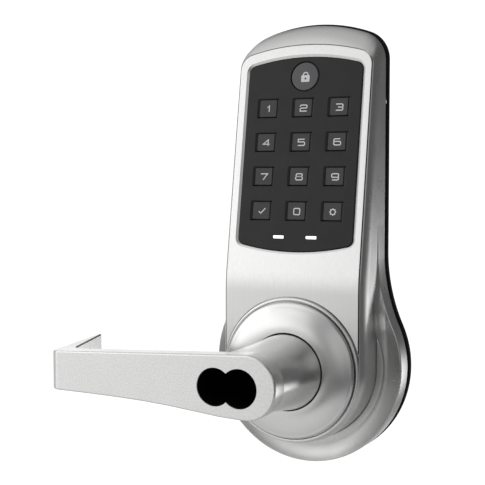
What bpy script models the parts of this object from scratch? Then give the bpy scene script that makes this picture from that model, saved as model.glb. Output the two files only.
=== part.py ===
"""Keypad lever lock, outside unit, built as separate parts.

Metres, +Z up. The unit faces -Y and its back lies on the plane y = 0 (the door).
The lever turns about the Y axis through the origin.
"""
import math

import bmesh
import bpy
from mathutils import Matrix, Vector

MM = 0.001

# Rear outline of the unit (gasket and base)
REAR_HALF_WIDTH = 42.3
REAR_CROWN_Z = 193.0
REAR_TOP_RADIUS = 93.0
REAR_CORNER_RADIUS = 17.0
BASE_RADIUS = 56.2
FLARE_RADIUS = 100.0

# Front outline of the body
FRONT_HALF_WIDTH = 39.6
FRONT_CROWN_Z = 180.2
FRONT_TOP_RADIUS = 125.0
FRONT_CORNER_RADIUS = 9.0
FRONT_Y = -41.5
KNEE_BLEND = 6.0
SIDE_ROUND_DEPTH = 9.5
SIDE_X = REAR_HALF_WIDTH - 0.45
BODY_CROWN_Z = REAR_CROWN_Z - 1.3
HOUSING_BACK_Y = -6.3

# Inclined keypad panel: centre of the zero key and tilt from the door
PANEL_TILT = math.radians(9.38)
PANEL_Y = -35.08
PANEL_Z = 87.48
KNEE_Z = PANEL_Z - (PANEL_Y - FRONT_Y) / math.tan(PANEL_TILT)

# Face plate and keypad
PLATE_THICK = 1.5
PLATE_GAP = 0.45
RECESS_DEPTH = 1.8
WALL_INNER = 3.6
PANEL_HALF_WIDTH = 34.3
PANEL_TOP_S = 86.9
PANEL_BOTTOM_S = -22.9
KEY_PITCH_X = 21.23
KEY_PITCH_S = 19.37
KEY_HALF_X = 5.2
KEY_HALF_S = 4.9
LED_X = 9.75
LED_S = -14.6
BADGE_S = 75.8
BADGE_RADIUS = 8.1

# Round flange at the base: fillet to the body, dish and rim lip
RIM_Y = -18.7
BASE_RING_RADIUS = 46.0
FILLET = 6.0
LIP = 0.7
DISH_DEPTH = 2.4

# Rose
RING_RADIUS = 40.0
DOME_RADIUS = 37.8
JOINT_RADIUS = 21.75

# Lever
LEVER_FACE_Y = -100.6
LEVER_BACK_Y = -89.0
LEVER_END_X = -119.4
LEVER_RETURN_Y = -51.0
HUB_RADIUS = 16.8
CORE_Z = -0.9

KEY_NAMES = (
    ("1", -1, 3), ("2", 0, 3), ("3", 1, 3),
    ("4", -1, 2), ("5", 0, 2), ("6", 1, 2),
    ("7", -1, 1), ("8", 0, 1), ("9", 1, 1),
    ("check", -1, 0), ("0", 0, 0), ("gear", 1, 0),
)

for old in list(bpy.data.objects):
    bpy.data.objects.remove(old, do_unlink=True)

lock = bpy.data.collections.new("keypad_lever_lock")
cutters = bpy.data.collections.new("cutters")
bpy.context.scene.collection.children.link(lock)
bpy.context.scene.collection.children.link(cutters)

PANEL = (
    Matrix.Translation(Vector((0.0, PANEL_Y, PANEL_Z)) * MM)
    @ Matrix.Rotation(-PANEL_TILT, 4, "X")
)


def paint(obj, colour, roughness, metallic):
    """Give the object its own Principled material."""
    mat = bpy.data.materials.new(obj.name)
    mat.use_nodes = True
    shader = mat.node_tree.nodes["Principled BSDF"]
    shader.inputs["Base Color"].default_value = (*colour, 1.0)
    shader.inputs["Roughness"].default_value = roughness
    shader.inputs["Metallic"].default_value = metallic
    mat.diffuse_color = (*colour, 1.0)
    obj.data.materials.clear()
    obj.data.materials.append(mat)
    return obj


def add_object(name, verts, faces, group, matrix=None):
    """Make a mesh object from millimetre coordinates."""
    mesh = bpy.data.meshes.new(name)
    mesh.from_pydata([Vector(v) * MM for v in verts], [], faces)
    bm = bmesh.new()
    bm.from_mesh(mesh)
    bmesh.ops.remove_doubles(bm, verts=bm.verts, dist=0.00001)
    bmesh.ops.recalc_face_normals(bm, faces=bm.faces)
    bm.to_mesh(mesh)
    bm.free()
    obj = bpy.data.objects.new(name, mesh)
    group.objects.link(obj)
    if matrix is not None:
        obj.matrix_world = matrix
    if group is cutters:
        obj.hide_render = True
        obj.display_type = "WIRE"
    return obj


def boolean(obj, other, operation="DIFFERENCE"):
    """Combine obj with a cutter through an exact Boolean modifier."""
    mod = obj.modifiers.new(other.name, "BOOLEAN")
    mod.operation = operation
    mod.solver = "EXACT"
    mod.object = other
    return obj


def soften(obj, width, segments=2, angle=40.0):
    """Round the sharp edges of an object."""
    mod = obj.modifiers.new("edge_round", "BEVEL")
    mod.width = width * MM
    mod.segments = segments
    mod.limit_method = "ANGLE"
    mod.angle_limit = math.radians(angle)
    return obj


def ring_faces(first, second, count):
    """Quads between two rings of vertices."""
    faces = []
    for i in range(count):
        j = (i + 1) % count
        faces.append((first + i, first + j, second + j, second + i))
    return faces


def ladder_faces(first, half_count):
    """Cap for a ring made of a right half and its mirrored left half."""
    last = 2 * half_count - 2
    left = [first + (last - i) % last for i in range(half_count)]
    faces = [(first, first + 1, left[1])]
    for i in range(1, half_count - 2):
        faces.append((first + i, first + i + 1, left[i + 1], left[i]))
    faces.append((first + half_count - 2, first + half_count - 1, left[half_count - 2]))
    return faces


def loft(name, rings, group, matrix=None, half_count=0):
    """Closed solid through rings of points, capped at both ends."""
    count = len(rings[0])
    verts = [p for ring in rings for p in ring]
    faces = []
    for k in range(len(rings) - 1):
        faces += ring_faces(k * count, (k + 1) * count, count)
    end = (len(rings) - 1) * count
    if half_count:
        faces += ladder_faces(0, half_count)
        faces += ladder_faces(end, half_count)
    else:
        faces.append(tuple(range(count)))
        faces.append(tuple(range(end, end + count)))
    return add_object(name, verts, faces, group, matrix)


def prism(name, outline, y_a, y_b, group, matrix=None):
    """Extrude an (x, z) outline along Y."""
    rings = [[(x, y, z) for x, z in outline] for y in (y_a, y_b)]
    return loft(name, rings, group, matrix)


def revolve(name, profile, group, steps=48, centre=(0.0, 0.0), matrix=None):
    """Revolve a closed (radius, y) profile about an axis along Y."""
    verts = []
    for i in range(steps):
        a = 2.0 * math.pi * i / steps
        for r, y in profile:
            verts.append((centre[0] + r * math.cos(a), y, centre[1] + r * math.sin(a)))
    count = len(profile)
    faces = []
    for i in range(steps):
        j = (i + 1) % steps
        for k in range(count):
            m = (k + 1) % count
            if profile[k][0] == 0.0 and profile[m][0] == 0.0:
                continue
            if profile[k][0] == 0.0:
                faces.append((i * count + k, i * count + m, j * count + m))
            elif profile[m][0] == 0.0:
                faces.append((i * count + k, i * count + m, j * count + k))
            else:
                faces.append((i * count + k, i * count + m, j * count + m, j * count + k))
    return add_object(name, verts, faces, group, matrix)


def tube(name, r_in, r_out, y_a, y_b, group, steps=40, centre=(0.0, 0.0), matrix=None):
    """Plain sleeve, or a plain rod when r_in is zero."""
    profile = [(r_in, y_a), (r_out, y_a), (r_out, y_b), (r_in, y_b)]
    return revolve(name, profile, group, steps, centre, matrix)


def arc(cx, cz, radius, start, stop, count):
    """Points on an arc, angles in degrees."""
    points = []
    for i in range(count):
        a = math.radians(start + (stop - start) * i / (count - 1))
        points.append((cx + radius * math.cos(a), cz + radius * math.sin(a)))
    return points


def rounded_box(half_x, half_z, radius, count=4, x=0.0, z=0.0):
    """Rectangle with rounded corners."""
    points = []
    for sx, sz, start in ((1, 1, 0), (-1, 1, 90), (-1, -1, 180), (1, -1, 270)):
        cx = x + sx * (half_x - radius)
        cz = z + sz * (half_z - radius)
        points += arc(cx, cz, radius, start, start + 90, count)
    return points


def crown_half(half_width, crown, top_radius, corner, top_count=7, corner_count=6):
    """Right half of an arched top: crown, corner, start of the straight side."""
    base_z = crown - top_radius
    corner_x = half_width - corner
    corner_z = base_z + math.sqrt((top_radius - corner) ** 2 - corner_x ** 2)
    meet = math.degrees(math.atan2(corner_z - base_z, corner_x))
    points = arc(0.0, base_z, top_radius, 90.0, meet, top_count)
    points += arc(corner_x, corner_z, corner, meet, 0.0, corner_count)[1:]
    return points


def side_stations(top_z):
    """Heights along the straight side, closer together at the knee."""
    stations = [top_z + (KNEE_Z + KNEE_BLEND - top_z) * i / 3.0 for i in (1, 2, 3)]
    stations += [KNEE_Z + KNEE_BLEND * k / 3.0 for k in (2, 1, 0, -1, -2, -3)]
    stations += [20.0]
    return stations


def shield_half(half_width, crown, top_radius, corner, bottom_count=13):
    """Right half outline: arched top, straight side, half-round bottom."""
    points = crown_half(half_width, crown, top_radius, corner)
    points += [(half_width, z) for z in side_stations(points[-1][1])]
    points += arc(0.0, 0.0, half_width, 0.0, -90.0, bottom_count)
    return points


def stadium_half(half_width, top_z):
    """Right half of a straight-sided outline with a half-round bottom."""
    points = [(0.0, top_z), (half_width, top_z)]
    return points + arc(0.0, 0.0, half_width, 0.0, -90.0, 18)


def mirrored(half):
    """Close a right half outline with its mirror image."""
    return half + [(-x, z) for x, z in reversed(half[1:-1])]


def front_y(z):
    """Depth of the face: flat at the bottom, inclined above a soft knee."""
    slope = math.tan(PANEL_TILT)
    d = z - KNEE_Z
    if d <= -KNEE_BLEND:
        return FRONT_Y
    if d >= KNEE_BLEND:
        return FRONT_Y + slope * d
    return FRONT_Y + slope * (d + KNEE_BLEND) ** 2 / (4.0 * KNEE_BLEND)


def body_rings(front, rear, inset_y, rear_y, steps):
    """Rings from the face outline round to the rear outline.

    The sides are rounded; the crown, where the two outlines are further apart, is
    closer to a chamfer with a slight bulge.
    """
    first = math.radians(4.0)
    rings = []
    for k in range(steps + 1):
        t = k / steps
        a = first + (0.5 * math.pi - first) * t
        round_out = (math.sin(a) - math.sin(first)) / (1.0 - math.sin(first))
        round_back = 1.0 - math.cos(a) / math.cos(first)
        slope_out = 1.44 * t * (1.0 - t) + t * t
        slope_back = 0.9 * t * (1.0 - t) + t * t
        ring = []
        for (fx, fz), (bx, bz) in zip(front, rear):
            spread = math.hypot(bx - fx, bz - fz)
            blunt = min(1.0, max(0.0, (spread - 2.5) / 6.0))
            y_face = front_y(fz) + inset_y
            depth = min(SIDE_ROUND_DEPTH + 0.6 * max(0.0, spread - 2.5), -y_face - 6.8)
            out = round_out + (slope_out - round_out) * blunt
            back = round_back + (slope_back - round_back) * blunt
            ring.append((fx + (bx - fx) * out, y_face + depth * back, fz + (bz - fz) * out))
        rings.append(ring)
    rings.append([(x, rear_y, z) for x, z in rear])
    return rings


def body_solid(name, inset, inset_y, rear_y, group, steps=6):
    """Body of the escutcheon, or its cavity when inset."""
    front = mirrored(shield_half(
        FRONT_HALF_WIDTH - inset, FRONT_CROWN_Z - inset, FRONT_TOP_RADIUS, FRONT_CORNER_RADIUS))
    rear = mirrored(shield_half(
        SIDE_X - inset, BODY_CROWN_Z - inset, REAR_TOP_RADIUS, REAR_CORNER_RADIUS))
    half_count = len(front) // 2 + 1
    rings = body_rings(front, rear, inset_y, rear_y, steps)
    return loft(name, rings, group, None, half_count)


def base_half(inset, top_z, arched):
    """Right half of the flared base, with or without the arched top."""
    half_width = REAR_HALF_WIDTH - inset
    radius = BASE_RADIUS - inset
    flare = FLARE_RADIUS + inset
    centre_x = half_width + flare
    centre_z = math.sqrt((radius + flare) ** 2 - centre_x ** 2)
    if arched:
        points = crown_half(
            half_width, REAR_CROWN_Z - inset, REAR_TOP_RADIUS - inset,
            REAR_CORNER_RADIUS - inset)
    else:
        points = [(0.0, top_z), (half_width, top_z)]
    meet = math.degrees(math.asin(centre_z / (radius + flare)))
    points += arc(centre_x, centre_z, flare, 180.0, 180.0 + meet, 8)
    points += arc(0.0, 0.0, radius, meet, -90.0, 20)[1:]
    return points


def flange_section(px, pz, fillet_steps=6, lip_steps=2):
    """Closed section of the flange at an outline point: fillet, dish, lip, outer wall.

    Where the flange narrows into the body's side, the fillet and the lip join in one
    S-curve that turns through a smaller angle.
    """
    if pz > 0.0:
        way = (math.copysign(1.0, px), 0.0)
        foot = (way[0] * SIDE_X, pz)
    else:
        far = math.hypot(px, pz)
        way = (px / far, pz / far)
        foot = (way[0] * SIDE_X, way[1] * SIDE_X)
    width = math.hypot(px - foot[0], pz - foot[1])
    turn = math.acos(max(0.0, 1.0 - width / (FILLET + LIP)))
    start = RIM_Y + LIP - (FILLET + LIP) * math.sin(turn)
    reach = width - LIP * (1.0 - math.cos(turn))
    grown = min(1.0, max(0.0, (width - 4.0) / 7.0))
    depth = DISH_DEPTH * grown * grown * (3.0 - 2.0 * grown)
    profile = [(-3.0, HOUSING_BACK_Y), (-3.0, start + depth)]
    for i in range(fillet_steps + 1):
        u = reach * (1.0 - math.cos(0.5 * math.pi * i / fillet_steps))
        y = start + math.sqrt(FILLET ** 2 - (FILLET - min(u, FILLET)) ** 2)
        profile.append((u, y + depth * (1.0 - (u / reach) ** 2.6)))
    for i in range(1, lip_steps + 1):
        a = turn * (1.0 - i / lip_steps)
        profile.append((width - LIP * (1.0 - math.cos(a)), RIM_Y + LIP - LIP * math.sin(a)))
    profile += [(width, HOUSING_BACK_Y - 1.2), (width - 0.5, HOUSING_BACK_Y)]
    return [(foot[0] + way[0] * u, y, foot[1] + way[1] * u) for u, y in profile]


def slab(name, half, y_front, y_back, group):
    """Slab under an outline, cut square to the door."""
    outline = mirrored(half)
    return prism(name, outline, y_front, y_back, group)


def face_slab(name, half, offset_a, offset_b, group):
    """Slab that follows the inclined face and its knee."""
    outline = mirrored(half)
    rings = []
    for offset in (offset_a, offset_b):
        rings.append([(x, front_y(z) + offset, z) for x, z in outline])
    return loft(name, rings, group, None, len(half))


def panel_outline(grow):
    """Outline of the keypad window in panel coordinates."""
    hw = PANEL_HALF_WIDTH + grow
    top = crown_half(hw, PANEL_TOP_S + grow, 125.0, 4.5 + grow, 7, 4)
    low = crown_half(hw, -PANEL_BOTTOM_S + grow, 140.0, 4.0 + grow, 7, 4)
    half = top + [(x, -s) for x, s in reversed(low)]
    return mirrored(half)


def panel_loft(name, sections, group):
    """Solid through window outlines given as (growth, depth) pairs."""
    rings = [[(x, y, s) for x, s in panel_outline(grow)] for grow, y in sections]
    return loft(name, rings, group, PANEL)


def baked(obj):
    """Plain mesh copy of an object with its modifiers evaluated."""
    graph = bpy.context.evaluated_depsgraph_get()
    mesh = bpy.data.meshes.new_from_object(obj.evaluated_get(graph))
    bm = bmesh.new()
    bm.from_mesh(mesh)
    bmesh.ops.remove_doubles(bm, verts=bm.verts, dist=0.00001)
    bm.to_mesh(mesh)
    bm.free()
    return mesh


# ---------------------------------------------------------------- rear parts
POSTS = (("upper", 0.0, 150.0), ("left", -27.0, -20.0), ("right", 27.0, -20.0))
REAR_SCREWS = (
    ("upper_left", -37.2, 148.0), ("upper_right", 37.2, 148.0),
    ("lower_left", -19.0, -32.5), ("lower_right", 19.0, -32.5),
)

gasket = slab("mounting_gasket", base_half(0.0, 0.0, True), -3.0, 0.0, lock)
paint(gasket, (0.02, 0.02, 0.022), 0.85, 0.0)
gasket_hole = tube("gasket_hub_hole", 0.0, 22.0, -4.0, 1.0, cutters, 40)
boolean(gasket, gasket_hole)
gasket_cable = prism(
    "gasket_cable_hole", rounded_box(9.0, 7.0, 3.0, 4, 0.0, 48.0), -4.0, 1.0, cutters)
boolean(gasket, gasket_cable)

back_plate = slab("back_plate", base_half(1.2, 0.0, True), -6.0, -3.3, lock)
paint(back_plate, (0.03, 0.03, 0.033), 0.5, 0.8)
plate_hub = tube("plate_hub_hole", 0.0, 9.4, -7.0, -2.0, cutters, 32)
boolean(back_plate, plate_hub)
plate_cable = prism(
    "plate_cable_hole", rounded_box(8.0, 6.0, 2.5, 4, 0.0, 48.0), -7.0, -2.0, cutters)
boolean(back_plate, plate_cable)

for label, px, pz in POSTS:
    hole = tube("gasket_post_hole_" + label, 0.0, 4.6, -4.0, 1.0, cutters, 20, (px, pz))
    boolean(gasket, hole)
    hole = tube("plate_post_hole_" + label, 0.0, 3.9, -7.0, -2.0, cutters, 20, (px, pz))
    boolean(back_plate, hole)
    post = revolve(
        "mounting_post_" + label,
        [(2.2, -11.5), (5.0, -11.5), (5.0, -6.3), (3.55, -6.3), (3.55, -0.6), (2.2, -0.6)],
        lock, 20, (px, pz))
    paint(post, (0.55, 0.55, 0.56), 0.4, 1.0)

for label, px, pz in REAR_SCREWS:
    hole = tube("gasket_screw_hole_" + label, 0.0, 4.0, -4.0, 1.0, cutters, 16, (px, pz))
    boolean(gasket, hole)
    hole = revolve(
        "plate_screw_hole_" + label,
        [(0.0, -7.0), (1.8, -7.0), (1.8, -5.0), (3.3, -5.0), (3.3, -2.0), (0.0, -2.0)],
        cutters, 16, (px, pz))
    boolean(back_plate, hole)
    screw = revolve(
        "rear_screw_" + label,
        [(0.0, -12.0), (1.4, -12.0), (1.4, -4.7), (2.9, -4.7), (2.9, -3.4), (0.0, -3.4)],
        lock, 16, (px, pz))
    paint(screw, (0.3, 0.3, 0.31), 0.4, 1.0)

# ------------------------------------------------------------------- housing
housing = body_solid("escutcheon_housing", 0.0, 0.0, HOUSING_BACK_Y, lock)
paint(housing, (0.62, 0.62, 0.61), 0.32, 1.0)

outline = base_half(0.1, 0.0, False)[2:]
first_width = outline[0][0] - SIDE_X
right_side = [
    (SIDE_X + first_width * k / 3.0, outline[0][1] + 6.0 * (3 - k)) for k in range(1, 3)]
right_side += outline
stations = right_side + [(-x, z) for x, z in reversed(right_side[:-1])]
flange = loft("base_flange", [flange_section(x, z) for x, z in stations], cutters)
boolean(housing, flange, "UNION")
base_step = tube("base_step", 30.0, BASE_RING_RADIUS, RIM_Y - 1.5, RIM_Y + 4.0, cutters, 64)
boolean(housing, base_step, "UNION")

cavity = body_solid("housing_cavity", 2.3, WALL_INNER, 2.0, cutters, 4)
for label, px, pz in REAR_SCREWS:
    boss = tube("screw_boss_" + label, 0.0, 3.7, -14.6, 8.0, cutters, 16, (px, pz))
    boolean(cavity, boss)
boolean(housing, cavity)
for label, px, pz in REAR_SCREWS:
    hole = tube("boss_hole_" + label, 0.0, 1.75, -13.0, 8.0, cutters, 12, (px, pz))
    boolean(housing, hole)

seam = slab("body_seam", stadium_half(42.5, 60.0), RIM_Y - 1.7, RIM_Y + 0.6, cutters)
seam_core = slab("body_seam_core", stadium_half(SIDE_X - 0.4, 120.0), -45.0, -5.0, cutters)
boolean(seam, seam_core)
seam_limit = tube("body_seam_limit", 0.0, BASE_RING_RADIUS + 0.1, -45.0, -5.0, cutters, 64)
boolean(seam, seam_limit, "INTERSECT")
boolean(housing, seam)

recess_half = crown_half(
    FRONT_HALF_WIDTH, FRONT_CROWN_Z, FRONT_TOP_RADIUS, FRONT_CORNER_RADIUS)
recess_half += [(FRONT_HALF_WIDTH, z) for z in side_stations(recess_half[-1][1])]
recess_half += [(FRONT_HALF_WIDTH, 0.0), (0.0, 0.0)]
recess = face_slab("plate_recess", recess_half, -8.0, RECESS_DEPTH, cutters)
rose_seat = tube("rose_seat", 0.0, 40.2, -60.0, -20.0, cutters, 64)
boolean(recess, rose_seat)
boolean(housing, recess)

window = panel_loft("housing_window", ((0.0, -6.0), (0.0, 7.0)), cutters)
boolean(housing, window)
spindle_hole = tube("housing_spindle_hole", 0.0, 15.0, -50.0, -30.0, cutters, 40)
boolean(housing, spindle_hole)

# ---------------------------------------------------------------- face plate
plate_half = crown_half(
    FRONT_HALF_WIDTH - PLATE_GAP, FRONT_CROWN_Z - PLATE_GAP,
    FRONT_TOP_RADIUS, FRONT_CORNER_RADIUS - PLATE_GAP)
plate_half += [(FRONT_HALF_WIDTH - PLATE_GAP, z) for z in side_stations(plate_half[-1][1])]
plate_half += [(FRONT_HALF_WIDTH - PLATE_GAP, 0.0), (0.0, 0.0)]
face_plate = face_slab("face_plate", plate_half, 0.0, PLATE_THICK, lock)
paint(face_plate, (0.68, 0.68, 0.67), 0.3, 1.0)
plate_bow = tube("plate_rose_cut", 0.0, 40.6, -60.0, -20.0, cutters, 64)
boolean(face_plate, plate_bow)
plate_window = panel_loft(
    "plate_window", ((2.4, -1.2), (1.2, 0.0), (0.35, 0.6), (0.0, 1.0), (0.0, 4.0)), cutters)
boolean(face_plate, plate_window)

# -------------------------------------------------------------------- keypad
fascia = panel_loft(
    "keypad_fascia",
    ((-0.6, 0.6), (-0.3, 0.9), (-0.3, 3.9), (2.2, 4.0), (2.2, 5.2)), lock)
paint(fascia, (0.03, 0.03, 0.032), 0.45, 0.0)


def key_block(name, half_x, half_s, depths, group, matrix):
    """Square stepped block; depths lists (growth, depth) pairs."""
    rings = []
    for grow, y in depths:
        box = rounded_box(half_x + grow, half_s + grow, 0.7 + max(grow, -0.4) * 0.5, 3)
        rings.append([(x, y, z) for x, z in box])
    return loft(name, rings, group, matrix)


for label, column, row in KEY_NAMES:
    place = PANEL @ Matrix.Translation(Vector((column * KEY_PITCH_X, 0.0, row * KEY_PITCH_S)) * MM)
    hole = key_block(
        "key_hole_" + label, KEY_HALF_X, KEY_HALF_S,
        ((1.3, -0.4), (1.0, 0.6), (0.35, 1.5), (0.35, 8.0)), cutters, place)
    boolean(fascia, hole)
    key = key_block(
        "key_" + label, KEY_HALF_X, KEY_HALF_S,
        ((-0.3, 0.9), (0.0, 1.2), (0.0, 5.55), (0.9, 5.6), (0.9, 6.6)), lock, place)
    paint(key, (0.075, 0.075, 0.08), 0.5, 0.0)

badge_place = PANEL @ Matrix.Translation(Vector((0.0, 0.0, BADGE_S)) * MM)
badge_pocket = tube(
    "badge_pocket", 0.0, BADGE_RADIUS + 0.45, -1.0, 2.2, cutters, 40, (0.0, 0.0), badge_place)
boolean(fascia, badge_pocket)
badge = revolve(
    "badge_disc",
    [(0.0, 0.7), (BADGE_RADIUS - 0.4, 0.7), (BADGE_RADIUS, 1.0), (BADGE_RADIUS, 1.9), (0.0, 1.9)],
    lock, 40, (0.0, 0.0), badge_place)
paint(badge, (0.08, 0.08, 0.085), 0.35, 0.3)

for label, side in (("left", -1.0), ("right", 1.0)):
    place = PANEL @ Matrix.Translation(Vector((side * LED_X, 0.0, LED_S)) * MM)
    slot = prism("led_slot_" + label, rounded_box(3.37, 1.04, 0.2, 3), -1.0, 8.0, cutters, place)
    boolean(fascia, slot)
    led = prism("led_window_" + label, rounded_box(3.05, 0.72, 0.15, 3), 0.7, 5.6, lock, place)
    paint(led, (0.85, 0.87, 0.88), 0.25, 0.0)

BOARD_POSTS = (("1", -31.0, 77.0), ("2", 31.0, 77.0), ("3", -31.0, -8.0), ("4", 31.0, -8.0))
mat = prism(
    "keypad_mat", rounded_box(28.4, 37.5, 3.0, 4, 0.0, 1.5 * KEY_PITCH_S), 9.1, 10.1, lock, PANEL)
paint(mat, (0.35, 0.36, 0.37), 0.8, 0.0)
keypad_board = prism(
    "keypad_board", rounded_box(33.2, 47.5, 3.0, 4, 0.0, 34.5), 10.4, 12.0, lock, PANEL)
paint(keypad_board, (0.03, 0.16, 0.07), 0.5, 0.0)
for label, column, row in KEY_NAMES:
    place = PANEL @ Matrix.Translation(Vector((column * KEY_PITCH_X, 0.0, row * KEY_PITCH_S)) * MM)
    dome = revolve(
        "mat_dome_" + label, [(0.0, 7.9), (2.2, 7.9), (3.6, 9.4), (0.0, 9.4)],
        cutters, 12, (0.0, 0.0), place)
    boolean(mat, dome, "UNION")
for label, px, ps in BOARD_POSTS:
    place = PANEL @ Matrix.Translation(Vector((px, 0.0, ps)) * MM)
    stud = tube("fascia_stud_" + label, 0.8, 1.9, 5.0, 10.1, cutters, 12, (0.0, 0.0), place)
    boolean(fascia, stud, "UNION")
    hole = tube("board_hole_" + label, 0.0, 1.1, 9.0, 14.0, cutters, 12, (0.0, 0.0), place)
    boolean(keypad_board, hole)
    screw = revolve(
        "board_screw_" + label,
        [(0.0, 7.0), (0.6, 7.0), (0.6, 12.3), (1.6, 12.3), (1.6, 13.2), (0.0, 13.2)],
        lock, 12, (0.0, 0.0), place)
    paint(screw, (0.5, 0.5, 0.5), 0.35, 1.0)

control_board = prism(
    "control_board", rounded_box(24.0, 28.0, 2.0, 3, 0.0, 90.0), -11.0, -9.4, lock)
paint(control_board, (0.02, 0.12, 0.16), 0.5, 0.0)
chip = prism("control_chip", rounded_box(6.0, 6.0, 0.5, 2, 4.0, 96.0), -12.4, -10.5, cutters)
boolean(control_board, chip, "UNION")
socket = prism("control_socket", rounded_box(8.0, 2.6, 0.5, 2, 0.0, 66.5), -15.5, -10.5, cutters)
boolean(control_board, socket, "UNION")
buzzer = tube("sounder", 1.2, 5.5, -15.0, -11.4, lock, 24, (-14.0, 82.0))
paint(buzzer, (0.02, 0.02, 0.02), 0.6, 0.0)
connector = prism(
    "door_connector", rounded_box(6.0, 3.6, 0.6, 2, 0.0, 48.0), -12.0, -1.0, lock)
paint(connector, (0.85, 0.83, 0.75), 0.5, 0.0)

# ---------------------------------------------------------------------- rose
ring = revolve(
    "rose_ring",
    [(38.2, -41.8), (38.2, -42.6), (38.7, -43.2), (39.5, -43.1), (RING_RADIUS, -42.6),
     (RING_RADIUS, -41.8)], lock, 64)
paint(ring, (0.62, 0.62, 0.61), 0.28, 1.0)
DOME_OUTER = (
    (DOME_RADIUS, -41.8), (DOME_RADIUS, -44.3), (DOME_RADIUS - 1.2, -45.9), (33.0, -47.3),
    (28.5, -48.4), (24.0, -49.1), (JOINT_RADIUS, -49.2))
DOME_INNER = ((JOINT_RADIUS, -47.6), (30.0, -46.3), (35.6, -44.4), (36.0, -41.8))
dome = revolve("rose_dome", list(DOME_OUTER + DOME_INNER), lock, 64)
paint(dome, (0.66, 0.66, 0.65), 0.22, 1.0)

# --------------------------------------------------------------------- lever
front_outline = arc(0.0, -0.2, HUB_RADIUS, 90.0, -90.0, 25)
front_outline += [(-15.0, -16.2), (-30.0, -14.6), (-45.0, -13.0), (-60.0, -11.9), (-75.0, -11.2)]
front_outline += [(-95.0, -10.6), (LEVER_END_X - 3.0, -10.1), (LEVER_END_X - 3.0, 10.9)]
lever_front = prism("lever_front", front_outline, LEVER_FACE_Y - 8.0, -45.0, cutters)
plan = [(25.0, LEVER_FACE_Y)]
plan += arc(LEVER_END_X + 7.0, LEVER_FACE_Y + 7.0, 7.0, 270.0, 180.0, 7)
plan += [(LEVER_END_X + 0.8, LEVER_RETURN_Y), (LEVER_END_X + 3.0, LEVER_RETURN_Y)]
plan += arc(LEVER_END_X + 13.4, LEVER_BACK_Y + 5.0, 5.0, 188.0, 270.0, 6)
plan += [(25.0, LEVER_BACK_Y)]
plan_rings = [[(x, y, z) for x, y in plan] for z in (-40.0, 40.0)]
lever_blank = loft("lever_blank", plan_rings, cutters)
boolean(lever_blank, lever_front, "INTERSECT")
bpy.context.view_layer.update()
lever = bpy.data.objects.new("lever_handle", baked(lever_blank))
lock.objects.link(lever)
for vert in lever.data.vertices:
    reach = vert.co.y / MM - LEVER_BACK_Y
    if vert.co.x / MM < -100.0 and reach > 0.0:
        vert.co.z = (vert.co.z / MM * (1.0 + 0.0062 * reach) + 0.012 * reach) * MM
paint(lever, (0.63, 0.63, 0.62), 0.33, 1.0)
soften(lever, 0.9, 2, 50.0)

neck_rings = []
for i in range(11):
    t = i / 10.0
    blend = t * t * (3.0 - 2.0 * t)
    y = -46.2 - 44.3 * t
    right = 21.4 - 5.2 * (1.0 - (1.0 - t) ** 1.6)
    left = 21.4 + 15.0 * blend
    high = 21.4 - 5.6 * (1.0 - (1.0 - t) ** 1.6)
    ring_points = []
    for k in range(48):
        a = 2.0 * math.pi * k / 48
        half_x = right if math.cos(a) > 0.0 else left
        ring_points.append((half_x * math.cos(a), y, high * math.sin(a)))
    neck_rings.append(ring_points)
neck = loft("lever_neck", neck_rings, cutters)
boolean(lever, neck, "UNION")
core_right = tube("core_lobe_right", 0.0, 9.95, -105.0, -66.0, cutters, 40, (-3.7, CORE_Z))
core_left = tube("core_lobe_left", 0.0, 9.65, -105.0, -66.0, cutters, 40, (-17.5, CORE_Z))
boolean(lever, core_right)
boolean(lever, core_left)
lever_bore = tube("lever_bore", 0.0, 10.85, -68.0, -40.0, cutters, 40)
boolean(lever, lever_bore)
set_screw_hole = tube("set_screw_hole", 0.0, 1.9, -30.0, -9.0, cutters, 16)
set_screw_hole.matrix_world = (
    Matrix.Translation(Vector((0.0, -52.0, 0.0)) * MM) @ Matrix.Rotation(math.radians(90.0), 4, "X"))
boolean(lever, set_screw_hole)

# ------------------------------------------------------- turning parts inside
spindle_tube = tube("spindle_tube", 8.0, 10.5, -64.0, -14.0, lock, 40)
paint(spindle_tube, (0.5, 0.5, 0.51), 0.35, 1.0)
bearing = revolve(
    "lever_bearing",
    [(10.85, -46.0), (14.6, -46.0), (14.6, -37.5), (17.6, -37.5), (17.6, -36.6), (10.85, -36.6)],
    lock, 40)
paint(bearing, (0.6, 0.42, 0.2), 0.45, 1.0)
clip = tube("retaining_ring", 10.8, 13.6, -36.2, -35.0, lock, 48)
clip_gap = prism(
    "retaining_ring_gap", [(-2.5, 5.0), (2.5, 5.0), (2.5, 20.0), (-2.5, 20.0)],
    -40.0, -30.0, cutters)
boolean(clip, clip_gap)
paint(clip, (0.25, 0.25, 0.26), 0.4, 1.0)

cage = revolve(
    "spring_cage",
    [(17.9, -36.2), (19.2, -36.2), (19.2, -23.6), (11.0, -23.6), (11.0, -24.8), (17.9, -24.8)],
    lock, 48)
paint(cage, (0.5, 0.5, 0.52), 0.45, 1.0)

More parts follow.
